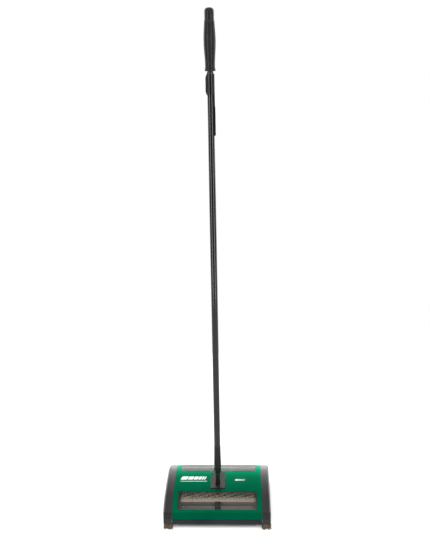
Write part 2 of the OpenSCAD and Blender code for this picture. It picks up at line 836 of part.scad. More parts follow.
top_cover();
front_window();
rear_window();
left_end_cap();
right_end_cap();
base_frame();
front_bumper();
rear_bumper();
pivot_housing();
pivot_pin();
detent_spring();
front_left_brush_holder();
front_right_brush_holder();
rear_left_brush_holder();
rear_right_brush_holder();
front_left_tuft();
front_right_tuft();
rear_left_tuft();
rear_right_tuft();
wheel_axles();
front_left_hub();
front_right_hub();
rear_left_hub();
rear_right_hub();
front_left_tyre();
front_right_tyre();
rear_left_tyre();
rear_right_tyre();
brush_core();
brush_bristles();
brush_shaft();
left_drum();
right_drum();
left_bush();
right_bush();
front_dust_pan();
rear_dust_pan();
front_pan_rod();
rear_pan_rod();
front_pan_springs();
rear_pan_springs();
front_pan_catch();
rear_pan_catch();
cover_screws();
housing_screws();
end_cap_screws();
handle_yoke();
handle_ferrule();
handle_tube_1();
handle_tube_2();
handle_tube_3();
handle_tube_4();
hang_clip();
grip();
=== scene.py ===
import json
import math
import random

import bmesh
import bpy
from mathutils import Matrix, Vector


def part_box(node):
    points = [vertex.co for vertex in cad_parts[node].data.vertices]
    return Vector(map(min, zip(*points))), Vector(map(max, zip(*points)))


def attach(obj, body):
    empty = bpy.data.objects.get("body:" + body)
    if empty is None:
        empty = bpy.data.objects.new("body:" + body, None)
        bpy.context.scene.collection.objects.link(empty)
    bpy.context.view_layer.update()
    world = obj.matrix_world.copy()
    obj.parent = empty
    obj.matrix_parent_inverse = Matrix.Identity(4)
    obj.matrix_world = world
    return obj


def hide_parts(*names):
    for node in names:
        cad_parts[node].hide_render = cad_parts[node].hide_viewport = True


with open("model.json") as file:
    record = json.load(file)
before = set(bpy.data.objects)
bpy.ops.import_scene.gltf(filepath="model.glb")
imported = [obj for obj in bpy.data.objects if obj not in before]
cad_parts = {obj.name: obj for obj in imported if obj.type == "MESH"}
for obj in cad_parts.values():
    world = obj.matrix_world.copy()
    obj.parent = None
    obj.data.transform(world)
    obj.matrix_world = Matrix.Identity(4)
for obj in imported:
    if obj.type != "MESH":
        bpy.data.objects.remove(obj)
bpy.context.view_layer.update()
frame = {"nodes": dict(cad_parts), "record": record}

MM = 0.001
SIDES = (-1, 1)
CORNERS = ("front_left", "front_right", "rear_left", "rear_right")

# ---------------------------------------------------------------- sizes, from the frame

cover_low, cover_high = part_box("top_cover")
cap_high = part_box("right_end_cap")[1]
bumper_low, bumper_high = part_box("rear_bumper")
holder_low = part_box("rear_right_brush_holder")[0]
grip_low, grip_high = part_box("grip")

COVER_X = cover_high.x                 # half width of the green cover
CAP_X = cap_high.x                     # half width over the end caps
SKIRT_Z = cover_low.z                  # lower edge of the cover
SKIRT_Y = cover_high.y                 # half depth at the cover's lower edge
CROWN_Z = cover_high.z                 # top of the roof
WALL = 2.2 * MM                        # thickness of the moulded shells
CROWN_R, SHOULDER_R = 500 * MM, 125 * MM
SHOULDER_Y = 43.4 * MM                 # where the roof's flat crown meets its shoulder
CREASE_Y = 99.2 * MM                   # where the roof meets the front and rear faces
WINDOW_X, WINDOW_IN, WINDOW_OUT = 90 * MM, 43.4 * MM, 92.6 * MM
BRACKET_X, BRACKET_Y = 16.9 * MM, 33.7 * MM     # half sizes of the opening for the handle bracket
SEAM = 0.35 * MM                       # gap between neighbouring mouldings
JOIN = 0.05 * MM                       # half the gap between the cover and an end cap
CHAMFER = 3 * MM                       # round the outer end of an end cap
ROOF_STEP = 2.6 * MM                   # length of a mesh face along the roof's curve

CROWN_TILT = math.asin(SHOULDER_Y / CROWN_R)
CROWN_CENTRE = Vector((0, CROWN_Z - CROWN_R))
SHOULDER_CENTRE = CROWN_CENTRE + (CROWN_R - SHOULDER_R) * Vector((math.sin(CROWN_TILT), math.cos(CROWN_TILT)))


def roof_z(y, inset=0.0):
    """Height of the roof at y, on the surface that lies inset below the outer one."""
    centre, radius = CROWN_CENTRE, CROWN_R - inset
    if abs(y) > radius * math.sin(CROWN_TILT):
        centre, radius = SHOULDER_CENTRE, SHOULDER_R - inset
    return centre.y + math.sqrt(radius ** 2 - (abs(y) - centre.x) ** 2)


def spread(stops, step):
    """Sorted stops with even steps of about that size between each pair."""
    values = []
    for a, b in zip(stops, stops[1:]):
        n = max(1, round((b - a) / step))
        values += [a + (b - a) * i / n for i in range(n)]
    return values + [stops[-1]]


CREASE_Z = roof_z(CREASE_Y)


def face_y(z):
    """Distance of the front and rear faces from the middle, at height z below the crease."""
    return CREASE_Y + (SKIRT_Y - CREASE_Y) * (CREASE_Z - z) / (CREASE_Z - SKIRT_Z)


def smoothstep(low, high, x):
    t = min(1.0, max(0.0, (x - low) / (high - low)))
    return t * t * (3 - 2 * t)


# ---------------------------------------------------------------- materials

def add_node(tree, kind, links=(), **settings):
    """A new node; each setting is a property, or else the value of the input of that name."""
    made = tree.nodes.new(kind)
    for key, value in settings.items():
        if hasattr(made, key):
            setattr(made, key, value)
        else:
            made.inputs[key.replace("_", " ")].default_value = value
    for socket, source in links:
        tree.links.new(source, made.inputs[socket])
    return made


class Finish:
    """A material in the making, with the nodes that go in front of its Principled shader."""

    def __init__(self, name):
        self.material = bpy.data.materials.new(name)
        self.material.use_nodes = True
        self.inputs = self.material.node_tree.nodes["Principled BSDF"].inputs

    def node(self, kind, links=(), **settings):
        return add_node(self.material.node_tree, kind, links, **settings)

    def feed(self, socket, source):
        self.material.node_tree.links.new(source, self.inputs[socket])

    def noise(self, scale, detail, stretch=(1, 1, 1)):
        """Noise that stays with the object, stretched along its axes."""
        place = self.node("ShaderNodeTexCoord")
        scaled = self.node("ShaderNodeMapping", [("Vector", place.outputs["Object"])], Scale=stretch)
        noise = self.node("ShaderNodeTexNoise", [("Vector", scaled.outputs[0])], Scale=scale, Detail=detail)
        return noise.outputs["Fac"]

    def ranged(self, source, low, high, start=0.0, end=1.0):
        """A number that runs from low to high as the source goes from start to end."""
        limits = {"From_Min": start, "From_Max": end, "To_Min": low, "To_Max": high}
        return self.node("ShaderNodeMapRange", [("Value", source)], **limits).outputs[0]

    def between(self, source, dark, light, start=0.0, end=1.0):
        """A colour that runs from dark to light as the source goes from start to end."""
        ramp = self.node("ShaderNodeValToRGB", [("Fac", source)])
        for stop, position, colour in zip(ramp.color_ramp.elements, (start, end), (dark, light)):
            stop.position = position
            stop.color = (*colour, 1)
        return ramp.outputs["Color"]


def moulded(name, dark, light, rough, grain=(2500, 0.04), patches=18, stretch=(1, 1, 1), metallic=0.0,
            pale_edges=0.0, sheen_tint=(1, 1, 1), ior=1.5):
    """Colour that drifts between two shades, uneven gloss, fine grain and paler colour on convex edges."""
    finish = Finish(name)
    colour = finish.between(finish.noise(patches, 4.0, stretch), dark, light, 0.32, 0.68)
    # Lighter colour where the surface is convex, found by pointiness.
    if pale_edges:
        edges = finish.node("ShaderNodeNewGeometry")
        edge_paling = finish.ranged(edges.outputs["Pointiness"], 0.0, pale_edges, 0.52, 0.62)
        mix = finish.node("ShaderNodeMix", [("Factor", edge_paling), ("A", colour)], data_type="RGBA")
        mix.inputs["B"].default_value = (*[min(1.0, 2.2 * c + 0.05) for c in light], 1)
        colour = mix.outputs["Result"]
    finish.feed("Base Color", colour)
    finish.feed("Roughness", finish.ranged(finish.noise(patches * 7, 3.0, stretch), *rough, 0.3, 0.7))
    grain_scale, grain_strength = grain
    specks = finish.noise(grain_scale, 2.0, stretch)
    bump = finish.node("ShaderNodeBump", [("Height", specks)], Strength=grain_strength, Distance=0.2 * MM)
    finish.feed("Normal", bump.outputs[0])
    finish.inputs["Metallic"].default_value = metallic
    finish.inputs["IOR"].default_value = ior
    finish.inputs["Specular Tint"].default_value = (*sheen_tint, 1)
    return finish.material


def smoked(name):
    """Smoke-tinted clear plastic, slightly dusty, and more of a mirror at a grazing angle."""
    finish = Finish(name)
    dust = finish.noise(45, 6.0)
    skim = finish.node("ShaderNodeLayerWeight", Blend=0.5)
    grazing = finish.node("ShaderNodeMath", [(0, skim.outputs["Facing"])], operation="POWER")
    grazing.inputs[1].default_value = 4.0
    veil = finish.ranged(dust, 0.05, 0.08)
    mirror = finish.node("ShaderNodeMath", [(0, grazing.outputs[0]), (2, veil)], operation="MULTIPLY_ADD")
    mirror.inputs[1].default_value = 0.9
    finish.feed("Base Color", finish.between(dust, (0.04, 0.036, 0.03), (0.07, 0.063, 0.053)))
    finish.feed("Alpha", mirror.outputs[0])
    finish.feed("Roughness", finish.ranged(dust, 0.02, 0.06))
    finish.inputs["IOR"].default_value = 2.6
    return finish.material


def bristly(name, dark, light):
    """Stiff bristle, each strand with its own shade from a strand attribute, and faint flecks."""
    finish = Finish(name)
    strand_shade = finish.node("ShaderNodeAttribute", attribute_name="shade")
    mix = finish.node("ShaderNodeMix", [("A", finish.between(strand_shade.outputs["Fac"], dark, light)),
                                        ("B", finish.noise(900, 2.0))],
                      data_type="RGBA", blend_type="MULTIPLY")
    mix.inputs["Factor"].default_value = 0.1
    finish.feed("Base Color", mix.outputs["Result"])
    finish.inputs["Roughness"].default_value = 0.55
    return finish.material


MATERIALS = {
    "green_plastic": moulded(
        "green_plastic", (0.0, 0.118, 0.053), (0.0, 0.135, 0.061), rough=(0.17, 0.23),
        sheen_tint=(0.0, 1.0, 0.75), metallic=0.75, ior=1.1, pale_edges=0.08),
    "smoked_plastic": smoked("smoked_plastic"),
    "grey_plastic": moulded(
        "grey_plastic", (0.008, 0.0075, 0.0075), (0.013, 0.012, 0.0115), rough=(0.2, 0.28),
        grain=(3200, 0.06), pale_edges=0.25),
    "frame_plastic": moulded(
        "frame_plastic", (0.014, 0.013, 0.013), (0.022, 0.021, 0.02), rough=(0.45, 0.6), grain=(1800, 0.15)),
    "bumper_rubber": moulded(
        "bumper_rubber", (0.01, 0.0135, 0.0155), (0.015, 0.02, 0.023), rough=(0.4, 0.5), grain=(2600, 0.12),
        ior=1.35),
    "tyre_rubber": moulded(
        "tyre_rubber", (0.012, 0.012, 0.012), (0.03, 0.029, 0.027), rough=(0.65, 0.85), grain=(1500, 0.3)),
    "steel": moulded(
        "steel", (0.42, 0.42, 0.43), (0.6, 0.6, 0.62), rough=(0.22, 0.38), grain=(1200, 0.05),
        stretch=(0.1, 1, 1), metallic=1.0),
    # Roll bristle: pale tan, lifted almost to white. Part real colour, part painted light and painted window
    # reflection for the dim inside of the head.
    "bristle": bristly("bristle", (0.84, 0.74, 0.58), (1.0, 0.95, 0.82)),
    "brass": moulded("brass", (0.42, 0.28, 0.1), (0.6, 0.42, 0.18), rough=(0.3, 0.5), metallic=1.0),
    "tube_enamel": moulded(
        "tube_enamel", (0.006, 0.006, 0.006), (0.009, 0.009, 0.008), rough=(0.1, 0.14), grain=(400, 0.003),
        patches=6, ior=1.8),
    "grip_rubber": moulded(
        "grip_rubber", (0.008, 0.008, 0.008), (0.014, 0.014, 0.014), rough=(0.26, 0.34), grain=(2200, 0.08)),
}
CLIP_PLASTIC = moulded(
    "clip_plastic", (0.006, 0.006, 0.006), (0.01, 0.01, 0.01), rough=(0.14, 0.2), grain=(1500, 0.01), ior=1.6)
PLATE_PLASTIC = moulded(
    "plate_plastic", (0.004, 0.004, 0.004), (0.008, 0.007, 0.007), rough=(0.2, 0.28), grain=(3200, 0.06),
    pale_edges=0.2)
PAN_PLASTIC = moulded(
    "pan_plastic", (0.095, 0.089, 0.08), (0.13, 0.122, 0.11), rough=(0.45, 0.6), grain=(1800, 0.15))
TUFT_BRISTLE = bristly("tuft_bristle", (0.036, 0.023, 0.011), (0.18, 0.13, 0.072))
WHITE_PRINT = moulded(
    "white_print", (0.66, 0.7, 0.68), (0.85, 0.87, 0.86), rough=(0.35, 0.5), grain=(3000, 0.02), patches=60)
FLOOR_PAINT = moulded(
    "floor_paint", (0.88, 0.88, 0.88), (0.9, 0.9, 0.9), rough=(0.7, 0.8), grain=(40, 0.0), patches=3)


# ---------------------------------------------------------------- making pieces

def piece(name, verts, faces, slot, body, stands_for=(), material=None, smooth=40):
    """A mesh piece that rides on a body, takes its finish from a slot and may stand for CAD nodes."""
    mesh = bpy.data.meshes.new(name)
    mesh.from_pydata([tuple(v) for v in verts], [], faces)
    obj = bpy.data.objects.new(name, mesh)
    bpy.context.scene.collection.objects.link(obj)
    if smooth:
        tidy_mesh(mesh, smooth)
    mesh.materials.append(material or MATERIALS[slot])
    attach(obj, body)
    if stands_for:
        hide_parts(*stands_for)
    return obj


def tidy_mesh(mesh, smooth):
    """Welds doubles, points the faces outwards, and shades smooth up to that angle in degrees."""
    bm = bmesh.new()
    bm.from_mesh(mesh)
    bmesh.ops.remove_doubles(bm, verts=bm.verts, dist=1e-6)
    bmesh.ops.recalc_face_normals(bm, faces=bm.faces)
    bm.to_mesh(mesh)
    bm.free()
    mesh.shade_smooth()
    mesh.set_sharp_from_angle(angle=math.radians(smooth))


def modify(obj, kind, **settings):
    """Adds a modifier with those settings."""
    mod = obj.modifiers.new(kind.lower(), kind)
    for key, value in settings.items():
        setattr(mod, key, value)


def thicken(obj, thickness):
    """Solid wall inside an outer skin."""
    modify(obj, "SOLIDIFY", thickness=thickness, offset=-1, use_even_offset=True, use_quality_normals=True)


def round_edges(obj, width, segments=3, angle=30):
    """Rounded edges where the faces turn by more than angle degrees."""
    modify(obj, "BEVEL", width=width, segments=segments, limit_method="ANGLE",
           angle_limit=math.radians(angle), use_clamp_overlap=True, harden_normals=True)


def grid_faces(columns, rows, keep=lambda c, r: True, closed=False):
    """Faces of a grid of vertices stored column by column."""
    faces = []
    for c in range(columns if closed else columns - 1):
        for r in range(rows - 1):
            if keep(c, r):
                a, b = c * rows + r, (c + 1) % columns * rows + r
                faces.append((a, b, b + 1, a + 1))
    return faces


def revolve(profile, segments, shape=None):
    """A profile of (radius, z) turned round Z; shape(radius, z, angle) may move a point."""
    verts = []
    for i in range(segments):
        a = math.tau * i / segments
        for r, z in profile:
            rr, zz = shape(r, z, a) if shape else (r, z)
            verts.append(Vector((rr * math.cos(a), rr * math.sin(a), zz)))
    return verts, grid_faces(segments, len(profile), closed=True)


def sweep(points, radius):
    """A ten-sided tube through the points, with its ends capped."""
    sides = 10
    verts, rings = [], len(points)
    normal = None
    for i, p in enumerate(points):
        ahead = points[min(i + 1, rings - 1)] - points[max(i - 1, 0)]
        ahead.normalize()
        if normal is None:
            normal = ahead.orthogonal().normalized()
        normal = (normal - normal.dot(ahead) * ahead).normalized()
        other = ahead.cross(normal)
        for s in range(sides):
            a = math.tau * s / sides
            verts.append(p + radius * (math.cos(a) * normal + math.sin(a) * other))
    faces = []
    for i in range(rings - 1):
        for s in range(sides):
            t = (s + 1) % sides
            faces.append((i * sides + s, i * sides + t, (i + 1) * sides + t, (i + 1) * sides + s))
    faces += [tuple(range(sides)), tuple(range((rings - 1) * sides, rings * sides))]
    return verts, faces


def joined(parts):
    """Several (verts, faces) as one."""
    verts, faces = [], []
    for v, f in parts:
        shift = len(verts)
        verts += v
        faces += [tuple(i + shift for i in face) for face in f]
    return verts, faces


# ---------------------------------------------------------------- CAD nodes that stay

def softening_group():
    """Geometry nodes that weld a CAD mesh and shade it smooth except at its real edges."""
    group = bpy.data.node_groups.new("soften", "GeometryNodeTree")
    group.interface.new_socket("Geometry", in_out="INPUT", socket_type="NodeSocketGeometry")
    group.interface.new_socket("Geometry", in_out="OUTPUT", socket_type="NodeSocketGeometry")
    nodes, link = group.nodes, group.links.new
    start, end = nodes.new("NodeGroupInput"), nodes.new("NodeGroupOutput")
    faces = nodes.new("GeometryNodeSetShadeSmooth")
    edges = nodes.new("GeometryNodeSetShadeSmooth")
    edges.domain = "EDGE"
    edges.inputs["Shade Smooth"].default_value = False
    angle = nodes.new("GeometryNodeInputMeshEdgeAngle")
    sharp = nodes.new("FunctionNodeCompare")
    sharp.operation = "GREATER_THAN"
    sharp.inputs["B"].default_value = math.radians(32)
    link(start.outputs[0], faces.inputs["Geometry"])
    link(faces.outputs[0], edges.inputs["Geometry"])
    link(angle.outputs["Unsigned Angle"], sharp.inputs["A"])
    link(sharp.outputs[0], edges.inputs["Selection"])
    link(edges.outputs[0], end.inputs[0])
    return group


SOFTEN = softening_group()


def dress_node(name, material, bevel=0.0):
    """Gives a CAD node its material and, by modifiers alone, welded, softly rounded edges."""
    obj = frame["nodes"][name]
    if "custom_normal" in obj.data.attributes:
        obj.data.attributes.remove(obj.data.attributes["custom_normal"])
    obj.data.materials.clear()
    obj.data.materials.append(material)
    modify(obj, "WELD", merge_threshold=2e-6)
    modify(obj, "NODES", node_group=SOFTEN)
    if bevel:
        round_edges(obj, bevel, segments=2, angle=32)


FINISHES = {                           # nodes whose finish differs from the rest of their slot
    # The pan catches' black clip finish paints the handle's reflection and shadow as a dark column in the
    # front window.
    "hang_clip": CLIP_PLASTIC, "front_pan_catch": CLIP_PLASTIC, "rear_pan_catch": CLIP_PLASTIC,
    "pivot_housing": PLATE_PLASTIC, "front_dust_pan": PAN_PLASTIC, "rear_dust_pan": PAN_PLASTIC,
}
BEVELS = {                             # nodes with softened edges, and the width of the bevel
    "pivot_housing": 0.5 * MM, "handle_yoke": 0.5 * MM, "hang_clip": 0.5 * MM, "handle_ferrule": 0.4 * MM,
    "base_frame": 0.3 * MM, "front_dust_pan": 0.3 * MM, "rear_dust_pan": 0.3 * MM,
    "front_pan_catch": 0.4 * MM, "rear_pan_catch": 0.4 * MM,
    **{"handle_tube_%d" % i: 0.4 * MM for i in range(1, 5)},
    **{corner + "_brush_holder": 0.6 * MM for corner in CORNERS},
    **{corner + "_hub": 0.25 * MM for corner in CORNERS},
}


# ---------------------------------------------------------------- head: cover, windows, end caps

def make_cover():
    """Green shell: roof and both faces as one skin with openings, thickened inwards."""
    xs = spread([-COVER_X + JOIN, -WINDOW_X, -BRACKET_X, BRACKET_X, WINDOW_X, COVER_X - JOIN], 30 * MM)
    half = [0, BRACKET_Y, WINDOW_IN, WINDOW_OUT, CREASE_Y]
    ys = spread([-y for y in half[:0:-1]] + half, ROOF_STEP)
    line = [(-SKIRT_Y, SKIRT_Z), *[(y, roof_z(y)) for y in ys], (SKIRT_Y, SKIRT_Z)]
    verts = [Vector((x, y, z)) for x in xs for y, z in line]

    def keep(c, r):
        x = (xs[c] + xs[c + 1]) / 2
        y = abs(line[r][0] + line[r + 1][0]) / 2
        in_window = abs(x) < WINDOW_X and WINDOW_IN < y < WINDOW_OUT
        in_bracket = abs(x) < BRACKET_X and y < BRACKET_Y
        return not (in_window or in_bracket)

    cover = piece("cover_shell", verts, grid_faces(len(xs), len(line), keep), "green_plastic", "head",
                  ["top_cover"])
    thicken(cover, WALL)
    round_edges(cover, 0.55 * MM)


def make_pane(side):
    """Curved smoked pane, a little sunk in its opening, with a rim that laps the roof from below."""
    name = "front" if side < 0 else "rear"
    sunk, gap, rim = 0.7 * MM, 0.2 * MM, 2.3 * MM
    parts = []
    for inset, grow in ((sunk, -gap), (WALL + 0.1 * MM, rim)):
        xs = spread([-WINDOW_X - grow, WINDOW_X + grow], 20 * MM)
        ys = spread([WINDOW_IN - grow, WINDOW_IN + rim, WINDOW_OUT - rim, WINDOW_OUT + grow], ROOF_STEP)
        verts = [Vector((x, side * y, roof_z(y, inset))) for x in xs for y in ys]
        edge_x, edge_in, edge_out = WINDOW_X - rim, WINDOW_IN + rim, WINDOW_OUT - rim

        def keep(c, r):
            middle_x, middle_y = abs(xs[c] + xs[c + 1]) / 2, (ys[r] + ys[r + 1]) / 2
            return grow < 0 or not (middle_x < edge_x and edge_in < middle_y < edge_out)

        parts.append((verts, grid_faces(len(xs), len(ys), keep)))
    pane = piece(name + "_pane", *joined(parts), "smoked_plastic", "head", [name + "_window"])
    thicken(pane, 1.1 * MM)
    round_edges(pane, 0.2 * MM, segments=2)


def cap_line(inset):
    """Outline of an end cap, moved inwards by inset, with a fine groove under the crease."""
    groove = ((0.9, 0), (1.15, 0.7), (1.85, 0.7), (2.1, 0))     # drop below the crease and depth, in mm
    crown_steps, shoulder_steps = 8, 24
    top = math.pi / 2 - CROWN_TILT
    end = math.acos((CREASE_Y - inset - SHOULDER_CENTRE.x) / (SHOULDER_R - inset))
    half = []
    for i in range(1, crown_steps + 1):
        a = math.pi / 2 - CROWN_TILT * i / crown_steps
        half.append(CROWN_CENTRE + (CROWN_R - inset) * Vector((math.cos(a), math.sin(a))))
    for i in range(1, shoulder_steps + 1):
        a = top + (end - top) * i / shoulder_steps
        half.append(SHOULDER_CENTRE + (SHOULDER_R - inset) * Vector((math.cos(a), math.sin(a))))
    for drop, depth in groove:
        z = CREASE_Z - drop * MM
        half.append(Vector((face_y(z) - inset - depth * MM, z)))
    half.append(Vector((SKIRT_Y - inset, SKIRT_Z)))
    return [Vector((-p.x, p.y)) for p in reversed(half)] + [Vector((0, CROWN_Z - inset))] + half


def make_cap(side):
    """End cap: the roof's outline carried outwards, chamfered round its end, with a skirt below."""
    columns = [(COVER_X + JOIN, 0), (CAP_X - CHAMFER, 0), (CAP_X, CHAMFER)]
    verts = [Vector((side * x, p.x, p.y)) for x, inset in columns for p in cap_line(inset)]
    rows = len(verts) // len(columns)
    faces = grid_faces(len(columns), rows)
    skirt_y = holder_low.y - SEAM
    corners = ((skirt_y, SKIRT_Z), (skirt_y, bumper_low.z), (-skirt_y, bumper_low.z), (-skirt_y, SKIRT_Z))
    end_face = list(range((len(columns) - 1) * rows, len(verts)))
    verts += [Vector((side * CAP_X, y, z)) for y, z in corners]
    faces.append(tuple(end_face + list(range(len(verts) - 4, len(verts)))))
    name = "left" if side < 0 else "right"
    cap = piece(name + "_cap", verts, faces, "grey_plastic", "head", [name + "_end_cap"])
    thicken(cap, WALL)
    round_edges(cap, 0.45 * MM)


# ---------------------------------------------------------------- bristles

def strand(root, tip, radius, bend=Vector((0, 0, 0)), segments=3):
    """A thin three-sided bristle that tapers a little and leans by bend."""
    ring = 3
    axis = (tip - root).normalized()
    side = axis.orthogonal().normalized()
    other = axis.cross(side)
    verts = []
    for i in range(segments + 1):
        t = i / segments
        centre = root.lerp(tip, t) + bend * (t * t)
        r = radius * (1 - 0.35 * t)
        for s in range(ring):
            a = math.tau * s / ring
            verts.append(centre + r * (math.cos(a) * side + math.sin(a) * other))
    faces = [(0, 2, 1), tuple(range(segments * ring, segments * ring + ring))]
    for i in range(segments):
        for s in range(ring):
            t = (s + 1) % ring
            faces.append((i * ring + s, i * ring + t, (i + 1) * ring + t, (i + 1) * ring + s))
    return verts, faces


def bristle_piece(name, strands, body, stands_for, rng, material=None):
    """Joins strands into one mesh and gives each its own shade."""
    obj = piece(name, *joined(strands), "bristle", body, stands_for, material, smooth=None)
    shade = obj.data.attributes.new("shade", "FLOAT", "POINT")
    values = []
    for verts, _ in strands:
        values += [rng.random()] * len(verts)
    shade.data.foreach_set("value", values)


def make_tuft(corner):
    """Corner tuft: clumps of stiff strands that leave the holder and splay out to the floor."""
    low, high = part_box(corner + "_tuft")
    holder_foot, holder_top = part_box(corner + "_brush_holder")
    root, foot = (holder_foot + holder_top) / 2, (low + high) / 2
    root_half, scatter, splay = 6.2 * MM, 0.17, 1.04
    reach_x, reach_y = (high.x - low.x) / 2 - 0.5 * MM, (high.y - low.y) / 2 - 0.5 * MM
    rng = random.Random(corner)
    strands, across, strands_each = [], 6, 16
    for clump in range(across * across):
        u = ((clump % across) + rng.uniform(0.2, 0.8)) / across * 2 - 1
        v = ((clump // across) + rng.uniform(0.2, 0.8)) / across * 2 - 1
        length = rng.uniform(0.0, 1.6) * MM
        lean = Vector((rng.gauss(0, 0.5), rng.gauss(0, 0.5), 0)) * MM
        for _ in range(strands_each):
            du, dv = rng.uniform(-scatter, scatter), rng.uniform(-scatter, scatter)
            start = Vector((root.x + root_half * (u + du), root.y + root_half * (v + dv),
                            holder_foot.z + 3 * MM))
            tip_u, tip_v = (max(-1.0, min(1.0, at * splay + off * 0.8)) for at, off in ((u, du), (v, dv)))
            tip = Vector((foot.x + reach_x * tip_u, foot.y + reach_y * tip_v,
                          0.1 * MM + length + rng.uniform(0, 0.9) * MM)) + lean * (1 - max(abs(u), abs(v)))
            strands.append(strand(start, tip, rng.uniform(0.24, 0.36) * MM))
    bristle_piece(corner + "_bristles", strands, "head", [corner + "_tuft"], rng, TUFT_BRISTLE)


def make_brush():
    """Brush roll: tufts of bristles in double helical rows on the core."""
    low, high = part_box("brush_bristles")
    core_low, core_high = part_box("brush_core")
    axis_z, core_r = (core_low.z + core_high.z) / 2, 10 * MM
    reach = (high.z - low.z) / 2 - 0.3 * MM
    rng = random.Random(4)
    rows, tufts, strands_each, scatter, margin = 12, 48, 17, 0.17, 2 * MM
    strands = []
    for row in range(rows):
        for i in range(tufts):
            along = i / (tufts - 1)
            x = low.x + margin + (high.x - low.x - 2 * margin) * along
            turn = math.tau * row / rows + math.pi * along
            for _ in range(strands_each):
                a = turn + rng.gauss(0, scatter)
                fan = rng.gauss(0, 1.5 * MM)
                lean = rng.gauss(0, 0.07)
                radius = reach * rng.uniform(0.93, 1.0)
                root = Vector((x + fan * 0.3, core_r * math.sin(turn), axis_z + core_r * math.cos(turn)))
                tip = Vector((x + fan, radius * math.sin(a), axis_z + radius * math.cos(a)))
                out = Vector((0, math.cos(a), -math.sin(a)))
                thick = rng.uniform(0.3, 0.42) * MM
                strands.append(strand(root, tip, thick, out * lean * 4 * MM, segments=2))
    bristle_piece("brush_tufts", strands, "brush", ["brush_bristles"], rng)


# ---------------------------------------------------------------- handle

def make_grip():
    """Fluted grip with a scalloped skirt and a smooth domed end."""
    length = grip_high.z - grip_low.z
    flutes, flute_depth, scallop = 10, 2 * MM, 1.8 * MM
    plain_r, bulge, bore = 9.8 * MM, 2.2 * MM, 6.05 * MM
    lip_r, skirt_top, dome = plain_r + 1.2 * MM, 9 * MM, 7.5 * MM
    body_top, end_start = length - 24 * MM, length - 23 * MM
    middle, reach = 0.48 * length, 0.413 * length
    body_steps, dome_steps, pole_r = 30, 9, 0.0002 * MM

    def radius(h):
        c = math.cos(math.pi / 2 * (h - middle) / reach)
        return plain_r + (bulge * c * c if abs(h - middle) < reach else 0.0)

    profile = [(bore, 2 * MM), (bore, 0.2 * MM), (8.6 * MM, 0.0), (lip_r - 0.4 * MM, 0.1 * MM),
               (lip_r, 0.6 * MM)]
    for h in (1.4 * MM, 2.4 * MM, 3.6 * MM, 5 * MM, 6.5 * MM, 8 * MM):
        profile.append((lip_r - (lip_r - radius(skirt_top)) * smoothstep(0.6 * MM, skirt_top, h), h))
    for i in range(body_steps + 1):
        h = skirt_top + (body_top - skirt_top) * i / body_steps
        profile.append((radius(h), h))
    profile += [(plain_r, end_start + 2 * i * MM) for i in range(7)]
    for i in range(dome_steps):
        a = math.pi / 2 * i / dome_steps
        profile.append((plain_r * math.cos(a) ** 0.8, length - dome + dome * math.sin(a)))
    profile.append((pole_r, length))

    def shape(r, h, a):
        wave = 0.5 - 0.5 * math.cos(flutes * a)
        fade = smoothstep(0, 3 * MM, h) * (1 - smoothstep(body_top - 3 * MM, body_top + MM, h))
        in_skirt = r > 8 * MM
        lift = scallop * wave * (1 - smoothstep(0, 5 * MM, h)) if in_skirt else 0.0
        tuck = 0.5 * MM * wave if in_skirt and h < 3 * MM else 0.0
        return r - flute_depth * fade * wave ** 2 - tuck, grip_low.z + h + lift

    verts, faces = revolve(profile, segments=160, shape=shape)
    piece("fluted_grip", verts, faces, "grip_rubber", "handle", ["grip"], smooth=60)


# ---------------------------------------------------------------- printed marks

def print_patch(name, slant, bars):
    """Thin printed bars that follow the roof; each bar is (x0, y0, x1, y1), leaning by slant."""
    lift = 0.05 * MM
    parts = []
    for x0, y0, x1, y1 in bars:
        xs, ys = spread([x0, x1], 10 * MM), spread([y0, y1], 2 * MM)
        verts = [Vector((x + slant * (y - y0), y, roof_z(y) + lift)) for x in xs for y in ys]
        parts.append((verts, grid_faces(len(xs), len(ys))))
    patch = piece(name, *joined(parts), "green_plastic", "head", material=WHITE_PRINT)
    modify(patch, "SOLIDIFY", thickness=0.1 * MM, offset=-1)


def make_prints():
    """Generic wordless trim: slanted bars that get narrower, a thin rule, and a few small bars."""
    slant, gap = 0.3, 2
    left, low, top = -88 * MM, 2.5 * MM, 15.5 * MM
    bars, x = [], left
    for width in (15, 11.5, 8.5, 6, 4, 2.5):
        bars.append((x, low, x + width * MM, top))
        x += (width + gap) * MM
    bars.append((left, -5.4 * MM, left + 62 * MM, -3.9 * MM))
    print_patch("left_trim_print", slant, bars)
    right, pitch = 40 * MM, 5 * MM
    print_patch("right_trim_print", slant, [
        (right + i * pitch, -2 * MM, right + i * pitch + (3.4 - 0.5 * i) * MM, 4.5 * MM) for i in range(5)])


# ---------------------------------------------------------------- small parts

def make_bumper(side):
    """Bumper strip: a shadow groove under the cover, a rounded face, and a recessed lower lip."""
    back = bumper_low.y
    out = bumper_high.y
    top, low = bumper_high.z, bumper_low.z
    outline = [(back, top), (out - 2 * MM, top), (out - 2 * MM, top - 4.2 * MM),
               (out - 0.4 * MM, top - 4.9 * MM), (out, top - 5.6 * MM),
               (out, low + 4.4 * MM), (out - 0.3 * MM, low + 3.8 * MM), (out - 0.9 * MM, low + 3.4 * MM),
               (out - 0.9 * MM, low + 0.7 * MM), (out - 1.3 * MM, low), (back, low + 0.4 * MM)]
    xs = spread([bumper_low.x + SEAM / 2, bumper_high.x - SEAM / 2], 50 * MM)
    verts = [Vector((x, side * y, z)) for x in xs for y, z in outline]
    n = len(outline)
    faces = []
    for c in range(len(xs) - 1):
        for r in range(n):
            s = (r + 1) % n
            faces.append((c * n + r, (c + 1) * n + r, (c + 1) * n + s, c * n + s))
    faces += [tuple(range(n)), tuple(range((len(xs) - 1) * n, len(xs) * n))]
    name = "front" if side < 0 else "rear"
    strip = piece(name + "_bumper_strip", verts, faces, "bumper_rubber", "head", [name + "_bumper"],
                  smooth=30)
    round_edges(strip, 0.25 * MM, segments=2, angle=40)


